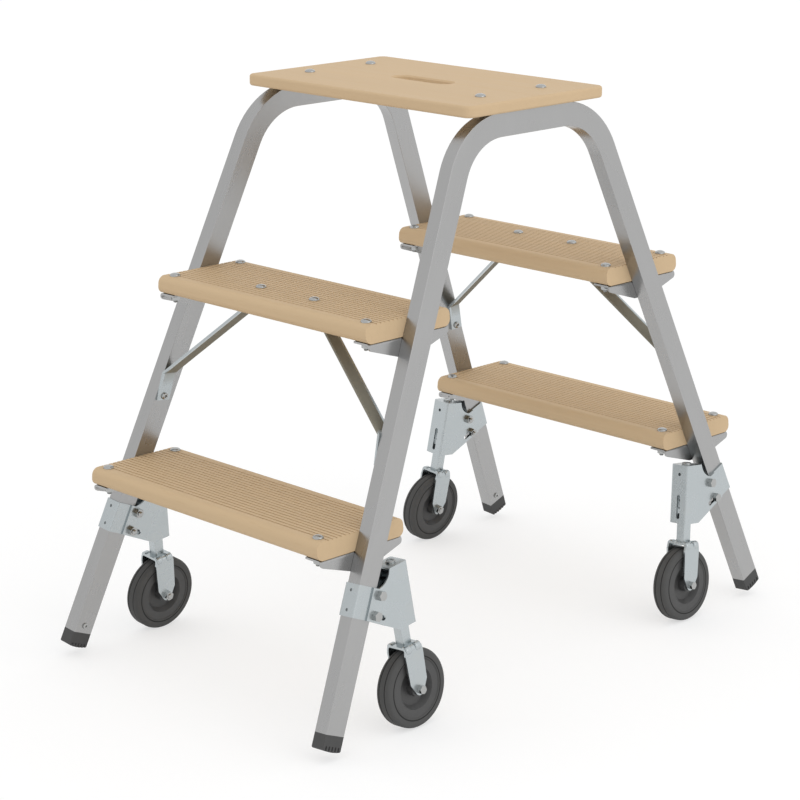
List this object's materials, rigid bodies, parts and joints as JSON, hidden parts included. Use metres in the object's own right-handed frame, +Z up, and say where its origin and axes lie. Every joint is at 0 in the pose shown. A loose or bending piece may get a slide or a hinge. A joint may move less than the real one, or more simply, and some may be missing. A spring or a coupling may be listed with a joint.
{
  "type": "mobile step platform",
  "caption": "Double-sided wooden step platform on bent aluminium tube frames, with sprung castors clamped to its legs so it rolls until stepped on.",
  "frame": {"origin": "on the floor under the middle of the platform", "axes": "+X along the treads, +Y from the front steps to the back steps, +Z up"},
  "size_m": [0.5112, 0.8398, 0.74],
  "materials": {
    "aluminium": "mill finish, satin",
    "top_board_wood": "clear lacquered beech plywood",
    "tread_wood": "clear lacquered beech, grooved",
    "zinc_plated_steel": "bright zinc plated",
    "foot_plastic": "matte dark grey",
    "wheel_plastic": "matte dark grey",
    "tyre_rubber": "matte dark grey"
  },
  "bodies": {
    "platform": {"board_bracket_left": "aluminium", "board_bracket_right": "aluminium", "brace_back_left": "zinc_plated_steel", "brace_back_right": "zinc_plated_steel", "brace_front_left": "zinc_plated_steel", "brace_front_right": "zinc_plated_steel", "bracket_lower_back_left": "aluminium", "bracket_lower_back_right": "aluminium", "bracket_lower_front_left": "aluminium", "bracket_lower_front_right": "aluminium", "bracket_upper_back_left": "aluminium", "bracket_upper_back_right": "aluminium", "bracket_upper_front_left": "aluminium", "bracket_upper_front_right": "aluminium", "castor_axle_back_left": "zinc_plated_steel", "castor_axle_back_right": "zinc_plated_steel", "castor_axle_front_left": "zinc_plated_steel", "castor_axle_front_right": "zinc_plated_steel", "castor_clamp_back_left": "zinc_plated_steel", "castor_clamp_back_right": "zinc_plated_steel", "castor_clamp_front_left": "zinc_plated_steel", "castor_clamp_front_right": "zinc_plated_steel", "castor_fork_back_left": "zinc_plated_steel", "castor_fork_back_right": "zinc_plated_steel", "castor_fork_front_left": "zinc_plated_steel", "castor_fork_front_right": "zinc_plated_steel", "castor_housing_back_left": "zinc_plated_steel", "castor_housing_back_right": "zinc_plated_steel", "castor_housing_front_left": "zinc_plated_steel", "castor_housing_front_right": "zinc_plated_steel", "castor_spring_back_left": "zinc_plated_steel", "castor_spring_back_right": "zinc_plated_steel", "castor_spring_front_left": "zinc_plated_steel", "castor_spring_front_right": "zinc_plated_steel", "castor_stem_back_left": "zinc_plated_steel", "castor_stem_back_right": "zinc_plated_steel", "castor_stem_front_left": "zinc_plated_steel", "castor_stem_front_right": "zinc_plated_steel", "foot_cap_back_left": "foot_plastic", "foot_cap_back_right": "foot_plastic", "foot_cap_front_left": "foot_plastic", "foot_cap_front_right": "foot_plastic", "side_frame_left": "aluminium", "side_frame_right": "aluminium", "top_board": "top_board_wood", "tread_lower_back": "tread_wood", "tread_lower_front": "tread_wood", "tread_upper_back": "tread_wood", "tread_upper_front": "tread_wood"},
    "wheel_front_left": {"wheel_core_front_left": "wheel_plastic", "wheel_tyre_front_left": "tyre_rubber"},
    "wheel_front_right": {"wheel_core_front_right": "wheel_plastic", "wheel_tyre_front_right": "tyre_rubber"},
    "wheel_back_left": {"wheel_core_back_left": "wheel_plastic", "wheel_tyre_back_left": "tyre_rubber"},
    "wheel_back_right": {"wheel_core_back_right": "wheel_plastic", "wheel_tyre_back_right": "tyre_rubber"}
  },
  "joints": [
    {"name": "roll_front_left", "type": "hinge", "parent": "platform", "child": "wheel_front_left", "pos_m": [-0.239, -0.26142, 0.05033], "axis": [0.9962, 0, -0.0872], "continuous": true},
    {"name": "roll_front_right", "type": "hinge", "parent": "platform", "child": "wheel_front_right", "pos_m": [0.239, -0.26142, 0.05033], "axis": [0.9962, 0, 0.0872], "continuous": true},
    {"name": "roll_back_left", "type": "hinge", "parent": "platform", "child": "wheel_back_left", "pos_m": [-0.239, 0.26142, 0.05033], "axis": [0.9962, 0, -0.0872], "continuous": true},
    {"name": "roll_back_right", "type": "hinge", "parent": "platform", "child": "wheel_back_right", "pos_m": [0.239, 0.26142, 0.05033], "axis": [0.9962, 0, 0.0872], "continuous": true}
  ]
}
